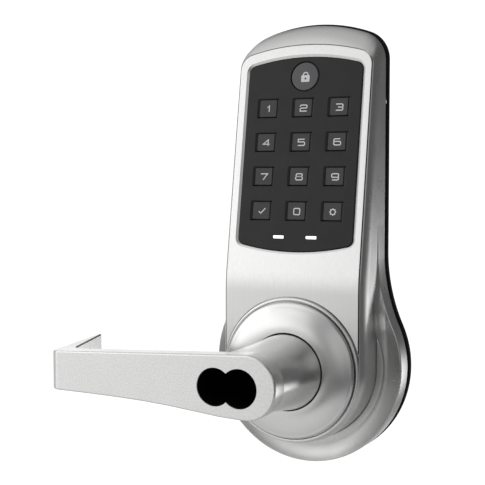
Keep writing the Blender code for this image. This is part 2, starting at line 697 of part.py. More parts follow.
coil = bpy.data.curves.new("return_spring", "CURVE")
coil.dimensions = "3D"
coil.bevel_depth = 0.75 * MM
coil.bevel_resolution = 2
coil.use_fill_caps = True
turns = coil.splines.new("POLY")
COIL_STEPS = 64
turns.points.add(COIL_STEPS)
for i in range(COIL_STEPS + 1):
    a = 2.0 * math.pi * 4.0 * i / COIL_STEPS
    y = -34.6 + 8.6 * i / COIL_STEPS
    turns.points[i].co = (15.9 * math.cos(a) * MM, y * MM, 15.9 * math.sin(a) * MM, 1.0)
coil_source = bpy.data.objects.new("return_spring_path", coil)
cutters.objects.link(coil_source)
coil_source.hide_render = True
bpy.context.view_layer.update()
spring = bpy.data.objects.new("return_spring", baked(coil_source))
lock.objects.link(spring)
paint(spring, (0.35, 0.36, 0.38), 0.35, 1.0)
bpy.data.objects.remove(coil_source, do_unlink=True)

hexagon = arc(0.0, 0.0, 14.0, 0.0, 300.0, 6)
drive_hub = prism("drive_hub", hexagon, -23.2, -13.6, lock)
hub_bore = tube("drive_hub_bore", 0.0, 10.8, -30.0, -10.0, cutters, 40)
boolean(drive_hub, hub_bore)
paint(drive_hub, (0.55, 0.5, 0.4), 0.4, 1.0)

collar = revolve(
    "clutch_collar",
    [(9.0, -20.6), (17.6, -20.6), (17.6, -17.7), (16.0, -17.7), (16.0, -15.3), (17.6, -15.3),
     (17.6, -12.6), (9.0, -12.6)], lock, 48)
paint(collar, (0.45, 0.45, 0.46), 0.35, 1.0)
collar_hex = prism("collar_hex", arc(0.0, 0.0, 14.45, 0.0, 300.0, 6), -30.0, -5.0, cutters)
boolean(collar, collar_hex)
cam = revolve(
    "tailpiece_cam",
    [(0.0, -11.6), (17.4, -11.6), (17.4, -7.4), (9.0, -7.4), (9.0, -1.0), (0.0, -1.0)], lock, 48)
paint(cam, (0.52, 0.52, 0.53), 0.35, 1.0)
square = prism("cam_square", rounded_box(4.0, 4.0, 0.4, 2), -20.0, 5.0, cutters)
boolean(cam, square)
for i in range(4):
    turn = Matrix.Rotation(math.radians(45.0 + 90.0 * i), 4, "Y")
    dog_box = [(14.7, -2.2), (17.2, -2.2), (17.2, 2.2), (14.7, 2.2)]
    dog = prism("collar_dog_%d" % i, dog_box, -13.4, -10.2, cutters, turn)
    boolean(collar, dog, "UNION")
    notch_box = [(14.3, -2.7), (20.0, -2.7), (20.0, 2.7), (14.3, 2.7)]
    notch = prism("cam_notch_%d" % i, notch_box, -14.0, -5.0, cutters, turn)
    boolean(cam, notch)

# ------------------------------------------------------------- clutch actuator
MOTOR_Z = 33.0
motor = revolve(
    "clutch_motor",
    [(0.0, -36.4), (5.0, -36.4), (5.4, -36.0), (5.4, -22.4), (2.4, -22.4), (2.4, -21.9),
     (0.0, -21.9)], lock, 28, (0.0, MOTOR_Z))
paint(motor, (0.6, 0.6, 0.62), 0.3, 1.0)
screw_profile = [(0.0, -21.6), (1.2, -21.6), (1.2, -20.9)]
for i in range(6):
    y = -20.6 + 1.8 * i
    screw_profile += [(1.6, y), (1.6, y + 0.8), (1.25, y + 1.1), (1.25, y + 1.5)]
screw_profile += [(1.2, -9.5), (0.0, -9.5)]
lead_screw = revolve("lead_screw", screw_profile, lock, 12)
lead_screw.location = Vector((0.0, 0.0, MOTOR_Z)) * MM
paint(lead_screw, (0.62, 0.55, 0.35), 0.35, 1.0)
fork_points = arc(0.0, 0.0, 20.4, 20.0, 68.0, 9)
fork_points += [(5.0, 27.0), (5.0, 37.0), (-5.0, 37.0), (-5.0, 27.0)]
fork_points += arc(0.0, 0.0, 20.4, 112.0, 160.0, 9)
fork_points += arc(0.0, 0.0, 16.35, 160.0, 20.0, 25)
fork = prism("shift_fork", fork_points, -17.3, -15.7, lock)
fork_bore = tube("shift_fork_bore", 0.0, 1.95, -25.0, -5.0, cutters, 20, (0.0, MOTOR_Z))
boolean(fork, fork_bore)
paint(fork, (0.8, 0.8, 0.78), 0.55, 0.0)

set_screw = revolve(
    "lever_set_screw",
    [(0.0, -20.0), (1.55, -20.0), (1.55, -12.0), (0.0, -10.9)], lock, 16)
set_screw.matrix_world = set_screw_hole.matrix_world
paint(set_screw, (0.2, 0.2, 0.21), 0.4, 1.0)

# --------------------------------------------------------------------- wiring
ribbon_path = [(-24.0, 77.0), (-21.0, 75.5), (-18.5, 73.0), (-16.5, 69.5), (-16.2, 66.5)]
strip = ribbon_path + [(y + 0.35, z + 0.35) for y, z in reversed(ribbon_path)]
ribbon_rings = [[(x, y, z) for y, z in strip] for x in (-6.0, 6.0)]
ribbon = loft("ribbon_cable", ribbon_rings, lock)
paint(ribbon, (0.75, 0.76, 0.78), 0.6, 0.0)

bpy.context.view_layer.update()
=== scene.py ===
"""Looks of the keypad lever lock: finer shells, materials, light and camera."""
import math

import bmesh
import bpy
from mathutils import Matrix, Vector


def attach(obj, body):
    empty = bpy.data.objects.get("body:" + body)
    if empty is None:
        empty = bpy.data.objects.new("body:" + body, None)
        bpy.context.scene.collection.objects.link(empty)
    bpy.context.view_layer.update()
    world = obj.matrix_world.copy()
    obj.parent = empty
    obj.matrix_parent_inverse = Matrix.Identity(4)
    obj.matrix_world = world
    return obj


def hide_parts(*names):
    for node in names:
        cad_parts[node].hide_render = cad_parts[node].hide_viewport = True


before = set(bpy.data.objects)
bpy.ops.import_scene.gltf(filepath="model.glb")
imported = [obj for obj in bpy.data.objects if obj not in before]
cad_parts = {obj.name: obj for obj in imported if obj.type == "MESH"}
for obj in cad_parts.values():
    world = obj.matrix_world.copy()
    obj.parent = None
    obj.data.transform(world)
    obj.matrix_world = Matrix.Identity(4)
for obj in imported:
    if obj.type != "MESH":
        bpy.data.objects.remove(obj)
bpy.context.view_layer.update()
MM = 0.001

# ------------------------------------------------------------------ dimensions
REAR_HALF_WIDTH = 42.3
REAR_CROWN_Z = 193.0
REAR_TOP_RADIUS = 93.0
REAR_CORNER_RADIUS = 17.0
BASE_RADIUS = 56.2
FLARE_RADIUS = 100.0
FRONT_HALF_WIDTH = 39.6
FRONT_CROWN_Z = 180.2
FRONT_TOP_RADIUS = 125.0
FRONT_CORNER_RADIUS = 9.0
FRONT_Y = -41.5
KNEE_BLEND = 6.0
SIDE_ROUND_DEPTH = 9.5
ROUND_START = math.radians(4.0)
NARROW_STEP = 2.5
SIDE_X = REAR_HALF_WIDTH - 0.45
BODY_CROWN_Z = REAR_CROWN_Z - 1.3
HOUSING_BACK_Y = -6.3
PANEL_TILT = math.radians(9.38)
PANEL_Y = -35.08
PANEL_Z = 87.48
KNEE_Z = PANEL_Z - (PANEL_Y - FRONT_Y) / math.tan(PANEL_TILT)
PLATE_THICK = 1.5
PLATE_EDGE_GAP = 0.35
PLATE_SHIFT_X = -0.25
RECESS_DEPTH = 1.8
WALL_INNER = 3.6
PANEL_HALF_WIDTH = 34.3
PANEL_TOP_S = 86.9
PANEL_TOP_RADIUS = 125.0
PANEL_TOP_CORNER = 4.5
PANEL_BOTTOM_S = -22.9
PANEL_BOTTOM_RADIUS = 140.0
PANEL_BOTTOM_CORNER = 4.0
KEY_PITCH_X = 21.23
KEY_PITCH_S = 19.37
KEY_HALF_X = 5.2
KEY_HALF_S = 4.9
KEY_CORNER_RADIUS = 0.7
LED_X = 9.75
LED_S = -14.6
LEGEND_X = 0.3
LEGEND_Y = 0.875
LEGEND_S = -0.3
LEGEND_HALF_THICK = 0.02
BADGE_S = 75.8
BADGE_RADIUS = 8.1
RIM_Y = -18.7
BASE_RING_RADIUS = 46.0
FILLET = 6.0
FILLET_STEPS = 20
LIP = 0.7
LIP_STEPS = 6
DISH_DEPTH = 2.4
FLANGE_OVERLAP = 3.0
RING_RADIUS = 40.0
JOINT_RADIUS = 21.75
LEVER_FACE_Y = -100.6
LEVER_BACK_Y = -89.0
LEVER_END_X = -119.4
LEVER_RETURN_Y = -51.0
HUB_RADIUS = 16.8
SLEEVE_BORE_RADIUS = 10.85
NECK_ROOT_Y = -46.2
NECK_LENGTH = 44.3
NECK_ROOT_RADIUS = 21.45
CORE_Z = -0.9
CORE_FLOOR_Y = -66.0
CORE_LOBES = ((-3.7, 9.95), (-17.5, 9.65))
WELD_DISTANCE = 0.000002

KEY_NAMES = (
    ("1", -1, 3), ("2", 0, 3), ("3", 1, 3),
    ("4", -1, 2), ("5", 0, 2), ("6", 1, 2),
    ("7", -1, 1), ("8", 0, 1), ("9", 1, 1),
    ("check", -1, 0), ("0", 0, 0), ("gear", 1, 0),
)

PANEL = (
    Matrix.Translation(Vector((0.0, PANEL_Y, PANEL_Z)) * MM)
    @ Matrix.Rotation(-PANEL_TILT, 4, "X")
)


def on_panel(x, s):
    """Place on the inclined panel: x across, s up the panel."""
    return PANEL @ Matrix.Translation(Vector((x, 0.0, s)) * MM)


# ------------------------------------------------------------------- materials
class Shader:
    """A Principled material and the procedural helpers that drive it."""

    def __init__(self, name, colour, roughness, metallic):
        self.mat = bpy.data.materials.new(name)
        self.mat.use_nodes = True
        self.tree = self.mat.node_tree
        self.bsdf = self.tree.nodes["Principled BSDF"]
        self.bsdf.inputs["Base Color"].default_value = (*colour, 1.0)
        self.bsdf.inputs["Roughness"].default_value = roughness
        self.bsdf.inputs["Metallic"].default_value = metallic
        self.mat.diffuse_color = (*colour, 1.0)
        self.coords = None

    def mapped(self, scale):
        """Object coordinates stretched by a scale."""
        if self.coords is None:
            self.coords = self.tree.nodes.new("ShaderNodeTexCoord")
        mapping = self.tree.nodes.new("ShaderNodeMapping")
        mapping.inputs["Scale"].default_value = scale
        self.tree.links.new(self.coords.outputs["Object"], mapping.inputs["Vector"])
        return mapping.outputs["Vector"]

    def noise(self, scale, size, detail=2.0, rough=0.5):
        """Noise value over stretched object coordinates."""
        node = self.tree.nodes.new("ShaderNodeTexNoise")
        node.inputs["Scale"].default_value = size
        node.inputs["Detail"].default_value = detail
        node.inputs["Roughness"].default_value = rough
        self.tree.links.new(self.mapped(scale), node.inputs["Vector"])
        return node.outputs["Fac"]

    def spread(self, value, low, high, low_in, high_in):
        """Map a value onto a range."""
        node = self.tree.nodes.new("ShaderNodeMapRange")
        node.inputs["From Min"].default_value = low_in
        node.inputs["From Max"].default_value = high_in
        node.inputs["To Min"].default_value = low
        node.inputs["To Max"].default_value = high
        self.tree.links.new(value, node.inputs["Value"])
        return node.outputs["Result"]

    def tint(self, value, dark, light):
        """Drive the base colour between two tones."""
        ramp = self.tree.nodes.new("ShaderNodeValToRGB")
        ramp.color_ramp.elements[0].color = (*dark, 1.0)
        ramp.color_ramp.elements[0].position = 0.3
        ramp.color_ramp.elements[1].color = (*light, 1.0)
        ramp.color_ramp.elements[1].position = 0.7
        self.tree.links.new(value, ramp.inputs["Fac"])
        self.tree.links.new(ramp.outputs["Color"], self.bsdf.inputs["Base Color"])

    def bump(self, value, strength, distance):
        """Drive the normal from a height value, on top of any earlier bump."""
        node = self.tree.nodes.new("ShaderNodeBump")
        node.inputs["Strength"].default_value = strength
        node.inputs["Distance"].default_value = distance
        self.tree.links.new(value, node.inputs["Height"])
        socket = self.bsdf.inputs["Normal"]
        if socket.is_linked:
            self.tree.links.new(socket.links[0].from_socket, node.inputs["Normal"])
        self.tree.links.new(node.outputs["Normal"], socket)

    def roughen(self, value, low, high):
        """Drive the roughness from a value."""
        level = self.spread(value, low, high, 0.3, 0.7)
        self.tree.links.new(level, self.bsdf.inputs["Roughness"])


def brushed(name, dark, light, low, high, grain, strength):
    """Metal with fine lines along one axis; grain is the coordinate stretch."""
    shader = Shader(name, light, (low + high) * 0.5, 1.0)
    lines = shader.noise(grain, 1.0, 3.0, 0.6)
    shader.tint(lines, dark, light)
    shader.roughen(shader.noise(grain, 0.6, 2.0), low, high)
    shader.bump(lines, strength, 0.00004)
    return shader.mat


def satin(name, dark, light, low, high, strength=0.12, size=2600.0):
    """Cast metal with a fine, even satin grain."""
    shader = Shader(name, light, (low + high) * 0.5, 1.0)
    fine = shader.noise((1.0, 1.0, 1.0), size, 3.0, 0.6)
    broad = shader.noise((1.0, 1.0, 1.0), 60.0, 2.0)
    shader.tint(fine, dark, light)
    shader.roughen(broad, low, high)
    shader.bump(fine, strength, 0.00003)
    return shader.mat


def moulded(name, dark, light, low, high, size, strength, specular=0.5):
    """Plastic or rubber with a fine moulded texture."""
    shader = Shader(name, light, (low + high) * 0.5, 0.0)
    fine = shader.noise((1.0, 1.0, 1.0), size, 3.0, 0.6)
    broad = shader.noise((1.0, 1.0, 1.0), 90.0, 2.0)
    shader.tint(fine, dark, light)
    shader.roughen(broad, low, high)
    shader.bump(fine, strength, 0.00004)
    shader.bsdf.inputs["Specular IOR Level"].default_value = specular
    return shader.mat


PLATE_METAL = brushed(
    "brushed_plate", (0.67, 0.67, 0.665), (0.73, 0.73, 0.725), 0.29, 0.33,
    (2600.0, 2600.0, 26.0), 0.12)
# Painted shade: near-black finish for the face plate's outer side walls, standing in for the
# shadow in the gap round the plate.
EDGE_SHADE = satin("sheared_edge", (0.012, 0.012, 0.012), (0.03, 0.03, 0.03), 0.5, 0.6)
SHELL_METAL = satin("satin_shell", (0.56, 0.56, 0.555), (0.63, 0.63, 0.625), 0.26, 0.33)
DOME_METAL = satin("satin_dome", (0.62, 0.62, 0.615), (0.68, 0.68, 0.675), 0.20, 0.27, 0.08)
LEVER_METAL = satin(
    "satin_lever", (0.61, 0.61, 0.605), (0.77, 0.77, 0.765), 0.21, 0.27, 0.08, 1500.0)
PANEL_PLASTIC = moulded(
    "panel_plastic", (0.009, 0.009, 0.0095), (0.013, 0.013, 0.0135), 0.42, 0.5, 1800.0, 0.2, 0.35)
KEY_PLASTIC = moulded(
    "key_plastic", (0.044, 0.044, 0.046), (0.054, 0.054, 0.056), 0.45, 0.55, 1800.0, 0.2, 0.35)
# Painted shade: near-black, almost unreflective finish for the walls and floor of the lever's
# deep core pocket, standing in for the dark inside it.
CORE_POCKET_SHADE = moulded(
    "bore_black", (0.002, 0.002, 0.002), (0.004, 0.004, 0.004), 0.8, 0.9, 900.0, 0.1, 0.05)
GASKET_RUBBER = moulded(
    "gasket_rubber", (0.010, 0.010, 0.010), (0.016, 0.016, 0.016), 0.7, 0.85, 900.0, 0.4, 0.2)
PLATE_BLACK = moulded(
    "coated_steel", (0.012, 0.012, 0.013), (0.020, 0.020, 0.021), 0.5, 0.6, 1200.0, 0.3, 0.3)
LEGEND_INK = moulded("legend_ink", (0.66, 0.66, 0.66), (0.74, 0.74, 0.74), 0.5, 0.6, 2000.0, 0.05)
BADGE_FACE = satin("badge_face", (0.085, 0.085, 0.088), (0.11, 0.11, 0.114), 0.38, 0.46)
STEEL = satin("plated_steel", (0.42, 0.42, 0.43), (0.52, 0.52, 0.53), 0.3, 0.4)
DARK_STEEL = satin("dark_steel", (0.16, 0.16, 0.17), (0.24, 0.24, 0.25), 0.35, 0.45)
BRONZE = satin("sintered_bronze", (0.42, 0.28, 0.13), (0.55, 0.38, 0.18), 0.4, 0.5, 0.3)
BRASS = satin("turned_brass", (0.55, 0.45, 0.22), (0.66, 0.56, 0.30), 0.25, 0.35)
SILICONE = moulded("silicone", (0.28, 0.29, 0.30), (0.36, 0.37, 0.38), 0.6, 0.75, 500.0, 0.2)
BOARD_GREEN = moulded(
    "board_green", (0.015, 0.11, 0.045), (0.03, 0.17, 0.07), 0.4, 0.55, 700.0, 0.2)
BOARD_BLUE = moulded("board_blue", (0.012, 0.08, 0.11), (0.02, 0.13, 0.17), 0.4, 0.55, 700.0, 0.2)
NYLON = moulded("nylon", (0.72, 0.70, 0.62), (0.84, 0.82, 0.74), 0.45, 0.6, 900.0, 0.2)
ACETAL = moulded("acetal", (0.72, 0.72, 0.70), (0.82, 0.82, 0.80), 0.4, 0.5, 900.0, 0.15)
CABLE_SKIN = moulded("cable_skin", (0.62, 0.63, 0.65), (0.76, 0.77, 0.79), 0.45, 0.6, 900.0, 0.1)

led_shader = Shader("led_light", (0.9, 0.92, 0.93), 0.3, 0.0)
led_glow = led_shader.noise((1.0, 1.0, 1.0), 300.0)
led_shader.tint(led_glow, (0.86, 0.88, 0.90), (0.95, 0.96, 0.97))
led_shader.bsdf.inputs["Emission Color"].default_value = (0.95, 0.98, 1.0, 1.0)
led_shader.bsdf.inputs["Emission Strength"].default_value = 1.2
LED_LIGHT = led_shader.mat


# -------------------------------------------------------------------- geometry
def new_mesh(name, verts, faces):
    """Mesh from millimetre coordinates, with outward normals."""
    mesh = bpy.data.meshes.new(name)
    mesh.from_pydata([Vector(v) * MM for v in verts], [], faces)
    bm = bmesh.new()
    bm.from_mesh(mesh)
    bmesh.ops.remove_doubles(bm, verts=bm.verts, dist=WELD_DISTANCE)
    bmesh.ops.recalc_face_normals(bm, faces=bm.faces)
    bm.to_mesh(mesh)
    bm.free()
    return mesh


def piece(name, verts, faces, matrix=None):
    """Object from millimetre coordinates; a matrix is applied to the mesh."""
    mesh = new_mesh(name, verts, faces)
    if matrix is not None:
        mesh.transform(matrix)
    obj = bpy.data.objects.new(name, mesh)
    bpy.context.scene.collection.objects.link(obj)
    return obj


def ring_faces(first, second, count):
    """Quads between two rings of vertices."""
    faces = []
    for i in range(count):
        j = (i + 1) % count
        faces.append((first + i, first + j, second + j, second + i))
    return faces


def ladder_faces(first, half_count):
    """Cap for a ring made of a right half and its mirrored left half."""
    last = 2 * half_count - 2
    left = [first + (last - i) % last for i in range(half_count)]
    faces = [(first, first + 1, left[1])]
    for i in range(1, half_count - 2):
        faces.append((first + i, first + i + 1, left[i + 1], left[i]))
    faces.append((first + half_count - 2, first + half_count - 1, left[half_count - 2]))
    return faces


def loft(name, rings, matrix=None, half_count=0):
    """Closed solid through rings of points, capped at both ends."""
    count = len(rings[0])
    verts = [p for ring in rings for p in ring]
    faces = []
    for k in range(len(rings) - 1):
        faces += ring_faces(k * count, (k + 1) * count, count)
    end = (len(rings) - 1) * count
    if half_count:
        faces += ladder_faces(0, half_count)
        faces += ladder_faces(end, half_count)
    else:
        faces.append(tuple(range(count)))
        faces.append(tuple(range(end, end + count)))
    return piece(name, verts, faces, matrix)


def prism(name, outline, y_a, y_b, matrix=None):
    """Extrude an (x, z) outline along Y."""
    return loft(name, [[(x, y, z) for x, z in outline] for y in (y_a, y_b)], matrix)


def revolve(name, profile, steps=48, centre=(0.0, 0.0), matrix=None):
    """Revolve a closed (radius, y) profile about an axis along Y."""
    verts = []
    for i in range(steps):
        a = 2.0 * math.pi * i / steps
        for r, y in profile:
            verts.append((centre[0] + r * math.cos(a), y, centre[1] + r * math.sin(a)))
    count = len(profile)
    faces = []
    for i in range(steps):
        j = (i + 1) % steps
        for k in range(count):
            m = (k + 1) % count
            if profile[k][0] == 0.0 and profile[m][0] == 0.0:
                continue
            if profile[k][0] == 0.0:
                faces.append((i * count + k, i * count + m, j * count + m))
            elif profile[m][0] == 0.0:
                faces.append((i * count + k, i * count + m, j * count + k))
            else:
                faces.append((i * count + k, i * count + m, j * count + m, j * count + k))
    return piece(name, verts, faces, matrix)


def tube(name, r_in, r_out, y_a, y_b, steps=64, centre=(0.0, 0.0), matrix=None):
    """Plain sleeve, or a plain rod when r_in is zero."""
    profile = [(r_in, y_a), (r_out, y_a), (r_out, y_b), (r_in, y_b)]
    return revolve(name, profile, steps, centre, matrix)


def arc(cx, cz, radius, start, stop, count):
    """Points on an arc, angles in degrees."""
    points = []
    for i in range(count):
        a = math.radians(start + (stop - start) * i / (count - 1))
        points.append((cx + radius * math.cos(a), cz + radius * math.sin(a)))
    return points


def rounded_box(half_x, half_z, radius, count=6, x=0.0, z=0.0):
    """Rectangle with rounded corners."""
    points = []
    for sx, sz, start in ((1, 1, 0), (-1, 1, 90), (-1, -1, 180), (1, -1, 270)):
        cx = x + sx * (half_x - radius)
        cz = z + sz * (half_z - radius)
        points += arc(cx, cz, radius, start, start + 90, count)
    return points


def crown_half(half_width, crown, top_radius, corner, top_count=24, corner_count=18):
    """Right half of an arched top: crown, corner, start of the straight side."""
    base_z = crown - top_radius
    corner_x = half_width - corner
    corner_z = base_z + math.sqrt((top_radius - corner) ** 2 - corner_x ** 2)
    meet = math.degrees(math.atan2(corner_z - base_z, corner_x))
    points = arc(0.0, base_z, top_radius, 90.0, meet, top_count)
    points += arc(corner_x, corner_z, corner, meet, 0.0, corner_count)[1:]
    return points


def side_stations(top_z):
    """Heights along the straight side, closer together at the knee."""
    stations = [top_z + (KNEE_Z + KNEE_BLEND - top_z) * i / 6.0 for i in range(1, 7)]
    stations += [KNEE_Z + KNEE_BLEND * k / 9.0 for k in range(8, -10, -1)]
    stations += [33.0, 20.0, 8.0]
    return stations


def shield_half(half_width, crown, top_radius, corner):
    """Right half outline: arched top, straight side, half-round bottom."""
    points = crown_half(half_width, crown, top_radius, corner)
    points += [(half_width, z) for z in side_stations(points[-1][1])]
    points += arc(0.0, 0.0, half_width, 0.0, -90.0, 48)
    return points


def stadium_half(half_width, top_z):
    """Right half of a straight-sided outline with a half-round bottom."""
    points = [(0.0, top_z), (half_width, top_z)]
    return points + arc(0.0, 0.0, half_width, 0.0, -90.0, 60)


def mirrored(half):
    """Close a right half outline with its mirror image."""
    return half + [(-x, z) for x, z in reversed(half[1:-1])]


def front_y(z):
    """Depth of the face: flat at the bottom, inclined above a soft knee."""
    slope = math.tan(PANEL_TILT)
    d = z - KNEE_Z
    if d <= -KNEE_BLEND:
        return FRONT_Y
    if d >= KNEE_BLEND:
        return FRONT_Y + slope * d
    return FRONT_Y + slope * (d + KNEE_BLEND) ** 2 / (4.0 * KNEE_BLEND)


def body_rings(front, rear, inset_y, rear_y, steps):
    """Rings from the face outline round to the rear; wide steps are blunted."""
    first_sin = math.sin(ROUND_START)
    first_cos = math.cos(ROUND_START)
    rings = []
    for k in range(steps + 1):
        t = k / steps
        a = math.radians(4.0 + 86.0 * t)
        round_out = (math.sin(a) - first_sin) / (1.0 - first_sin)
        round_back = 1.0 - math.cos(a) / first_cos
        slope_out = 1.44 * t * (1.0 - t) + t * t
        slope_back = 0.9 * t * (1.0 - t) + t * t
        ring = []
        for (fx, fz), (bx, bz) in zip(front, rear):
            spread = math.hypot(bx - fx, bz - fz)
            blunt = min(1.0, max(0.0, (spread - NARROW_STEP) / 6.0))
            y_face = front_y(fz) + inset_y
            extra = 0.6 * max(0.0, spread - NARROW_STEP)
            depth = min(SIDE_ROUND_DEPTH + extra, -y_face - 6.8)
            out = round_out + (slope_out - round_out) * blunt
            back = round_back + (slope_back - round_back) * blunt
            y = y_face + depth * back
            ring.append((fx + (bx - fx) * out, y, fz + (bz - fz) * out))
        rings.append(ring)
    rings.append([(x, rear_y, z) for x, z in rear])
    return rings


def body_solid(name, inset, inset_y, rear_y, steps=20):
    """Body of the escutcheon, or its cavity when inset."""
    front = mirrored(shield_half(
        FRONT_HALF_WIDTH - inset, FRONT_CROWN_Z - inset, FRONT_TOP_RADIUS, FRONT_CORNER_RADIUS))
    rear = mirrored(shield_half(
        SIDE_X - inset, BODY_CROWN_Z - inset, REAR_TOP_RADIUS, REAR_CORNER_RADIUS))
    rings = body_rings(front, rear, inset_y, rear_y, steps)
    return loft(name, rings, None, len(front) // 2 + 1)


def flare_half(inset):
    """Right half of the base: flare out of the straight side, then the round."""
    half_width = REAR_HALF_WIDTH - inset
    radius = BASE_RADIUS - inset
    flare = FLARE_RADIUS + inset
    centre_x = half_width + flare
    centre_z = math.sqrt((radius + flare) ** 2 - centre_x ** 2)
    meet = math.degrees(math.asin(centre_z / (radius + flare)))
    points = arc(centre_x, centre_z, flare, 180.0, 180.0 + meet, 26)
    points += arc(0.0, 0.0, radius, meet, -90.0, 64)[1:]
    return points


def rear_half(inset):
    """Right half of the rear outline: arched top above the flared base."""
    points = crown_half(
        REAR_HALF_WIDTH - inset, REAR_CROWN_Z - inset, REAR_TOP_RADIUS - inset,
        REAR_CORNER_RADIUS - inset)
    return points + flare_half(inset)


def slab(name, half, y_front, y_back):
    """Slab under an outline, cut square to the door."""
    return prism(name, mirrored(half), y_front, y_back)


def face_slab(name, half, offset_a, offset_b):
    """Slab that follows the inclined face and its knee."""
    outline = mirrored(half)
    rings = []
    for offset in (offset_a, offset_b):
        rings.append([(x, front_y(z) + offset, z) for x, z in outline])
    return loft(name, rings, None, len(half))


def panel_outline(grow):
    """Outline of the keypad window in panel coordinates."""
    hw = PANEL_HALF_WIDTH + grow
    top = crown_half(
        hw, PANEL_TOP_S + grow, PANEL_TOP_RADIUS, PANEL_TOP_CORNER + grow, 20, 10)
    low = crown_half(
        hw, -PANEL_BOTTOM_S + grow, PANEL_BOTTOM_RADIUS, PANEL_BOTTOM_CORNER + grow, 20, 10)
    return mirrored(top + [(x, -s) for x, s in reversed(low)])


def panel_loft(name, sections):
    """Solid through window outlines given as (growth, depth) pairs."""
    rings = [[(x, y, s) for x, s in panel_outline(grow)] for grow, y in sections]
    return loft(name, rings, PANEL)


def boolean(obj, other, operation="DIFFERENCE"):
    """Combine with another object at once and remove it."""
    mod = obj.modifiers.new(other.name, "BOOLEAN")
    mod.operation = operation
    mod.solver = "EXACT"
    mod.object = other
    bake(obj)
    bpy.data.objects.remove(other, do_unlink=True)
    return obj


def bake(obj):
    """Apply all modifiers to the mesh."""
    bpy.context.view_layer.update()
    graph = bpy.context.evaluated_depsgraph_get()
    mesh = bpy.data.meshes.new_from_object(obj.evaluated_get(graph))
    obj.modifiers.clear()
    obj.data = mesh
    bm = bmesh.new()
    bm.from_mesh(mesh)
    bmesh.ops.remove_doubles(bm, verts=bm.verts, dist=WELD_DISTANCE)
    bmesh.ops.dissolve_degenerate(bm, edges=bm.edges, dist=WELD_DISTANCE)
    bm.to_mesh(mesh)
    bm.free()
    return obj


def round_edges(obj, width, segments, angle):
    """Round the sharp edges and apply it."""
    mod = obj.modifiers.new("edge_round", "BEVEL")
    mod.width = width * MM
    mod.segments = segments
    mod.limit_method = "ANGLE"
    mod.angle_limit = math.radians(angle)
    mod.harden_normals = False
    return bake(obj)


def smooth(obj, angle=30.0):
    """Smooth shading with sharp edges kept above an angle."""
    mesh = obj.data
    for poly in mesh.polygons:
        poly.use_smooth = True
    mesh.set_sharp_from_angle(angle=math.radians(angle))
    return obj


def finish_piece(obj, body, material, *nodes):
    """Material, body and the CAD nodes that the piece stands for."""
    even = obj.modifiers.new("even_normals", "WEIGHTED_NORMAL")
    even.keep_sharp = True
    even.weight = 100
    obj.data.materials.clear()
    obj.data.materials.append(material)
    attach(obj, body)
    if nodes:
        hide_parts(*nodes)
    return obj


def key_block(name, sections, matrix):
    """Rounded square key; sections lists (growth, depth) pairs."""
    rings = []
    for grow, y in sections:
        corner = KEY_CORNER_RADIUS + max(grow, -0.4) * 0.5
        box = rounded_box(KEY_HALF_X + grow, KEY_HALF_S + grow, corner, 7)
        rings.append([(x, y, z) for x, z in box])
    return loft(name, rings, matrix)


# ------------------------------------------------------- gasket
POSTS = (("upper", 0.0, 150.0), ("left", -27.0, -20.0), ("right", 27.0, -20.0))
REAR_SCREWS = ((-37.2, 148.0), (37.2, 148.0), (-19.0, -32.5), (19.0, -32.5))
SHEET_CUT = (-9.0, 2.0)


def rear_sheet(name, sections, hub, cable_x, cable_z, post_hole, screw_hole):
    """Sheet with the rear outline and its holes; sections are (inset, depth)."""
    rings = []
    for inset, y in sections:
        rings.append([(x, y, z) for x, z in mirrored(rear_half(inset))])
    sheet = loft(name, rings)
    boolean(sheet, tube("hub_cut", 0.0, hub, *SHEET_CUT))
    cable = rounded_box(cable_x, cable_z, 2.5, 6, 0.0, 48.0)
    boolean(sheet, prism("cable_cut", cable, *SHEET_CUT))
    for label, px, pz in POSTS:
        boolean(sheet, tube("post_cut_" + label, 0.0, post_hole, *SHEET_CUT, 32, (px, pz)))
    for px, pz in REAR_SCREWS:
        boolean(sheet, tube("screw_cut", 0.0, screw_hole, *SHEET_CUT, 32, (px, pz)))
    return sheet


gasket = rear_sheet(
    "seal",
    ((0.35, 0.0), (0.1, -0.12), (0.0, -0.4), (0.0, -2.6), (0.1, -2.88), (0.35, -3.0)),
    22.0, 9.0, 7.0, 4.6, 4.0)
finish_piece(smooth(gasket, 50.0), "escutcheon", GASKET_RUBBER, "mounting_gasket")

# --------------------------------------------------------------------- housing
SEAM_CUT = (-45.0, -5.0)
ROSE_CUT = (-60.0, -20.0)
housing = body_solid("housing_shell", 0.0, 0.0, HOUSING_BACK_Y)


def flange_section(px, pz):
    """Closed section of the flange at an outline point: fillet, dish, lip, outer wall."""
    if pz > 0.0:
        way = (math.copysign(1.0, px), 0.0)
        foot = (way[0] * SIDE_X, pz)
    else:
        far = math.hypot(px, pz)
        way = (px / far, pz / far)
        foot = (way[0] * SIDE_X, way[1] * SIDE_X)
    width = math.hypot(px - foot[0], pz - foot[1])
    turn = math.acos(max(0.0, 1.0 - width / (FILLET + LIP)))
    start = RIM_Y + LIP - (FILLET + LIP) * math.sin(turn)
    reach = width - LIP * (1.0 - math.cos(turn))
    grown = min(1.0, max(0.0, (width - 4.0) / 7.0))
    depth = DISH_DEPTH * grown * grown * (3.0 - 2.0 * grown)
    profile = [(-FLANGE_OVERLAP, HOUSING_BACK_Y), (-FLANGE_OVERLAP, start + depth)]
    for i in range(FILLET_STEPS + 1):
        u = reach * (1.0 - math.cos(0.5 * math.pi * i / FILLET_STEPS))
        y = start + math.sqrt(FILLET ** 2 - (FILLET - min(u, FILLET)) ** 2)
        profile.append((u, y + depth * (1.0 - (u / reach) ** 2.6)))
    for i in range(1, LIP_STEPS + 1):
        a = turn * (1.0 - i / LIP_STEPS)
        profile.append((width - LIP * (1.0 - math.cos(a)), RIM_Y + LIP - LIP * math.sin(a)))
    profile += [(width, HOUSING_BACK_Y - 1.2), (width - 0.5, HOUSING_BACK_Y)]
    return [(foot[0] + way[0] * u, y, foot[1] + way[1] * u) for u, y in profile]


